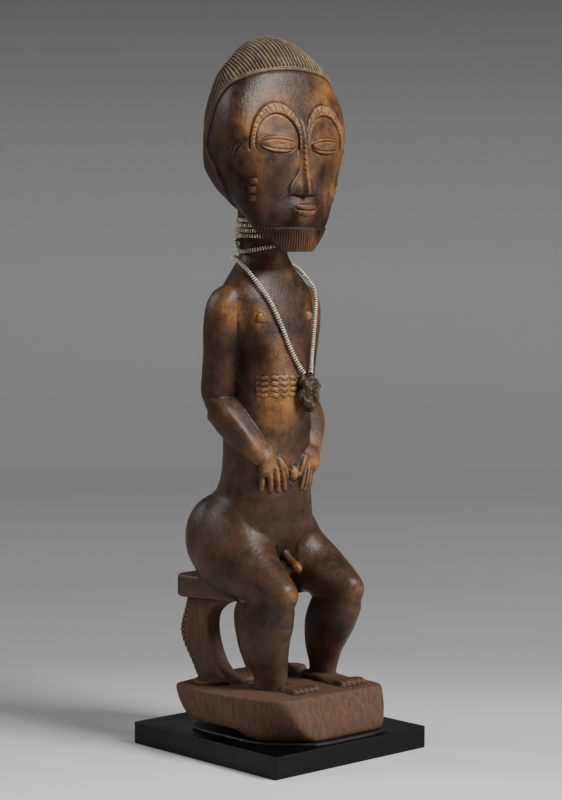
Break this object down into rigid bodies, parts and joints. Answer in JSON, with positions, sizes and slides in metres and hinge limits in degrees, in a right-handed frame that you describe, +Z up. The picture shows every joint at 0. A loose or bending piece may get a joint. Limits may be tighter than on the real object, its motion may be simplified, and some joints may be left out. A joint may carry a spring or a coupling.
{
  "type": "seated male figure on mount",
  "caption": "Carved wooden male figure seated on a stool, with bead collar, bead necklace and pendant, on a black museum mount.",
  "frame": {"origin": "centre of the plinth's underside", "axes": "+Z up; the figure looks along -Y; +X is the figure's left"},
  "size_m": [0.165, 0.1724, 0.5749],
  "materials": {
    "carved_wood": "oiled, worn satin",
    "collar_beads": "opaque, dull with dirt",
    "string_beads": "opaque, dull",
    "cast_bronze": "dark, rough",
    "bed_black": "matt",
    "black_lacquer": "satin black"
  },
  "bodies": {
    "root": {"figure": "carved_wood", "choker_beads": "collar_beads", "necklace_beads": "string_beads", "pendant": "cast_bronze", "mount_bed": "bed_black", "plinth": "black_lacquer"}
  },
  "joints": []
}
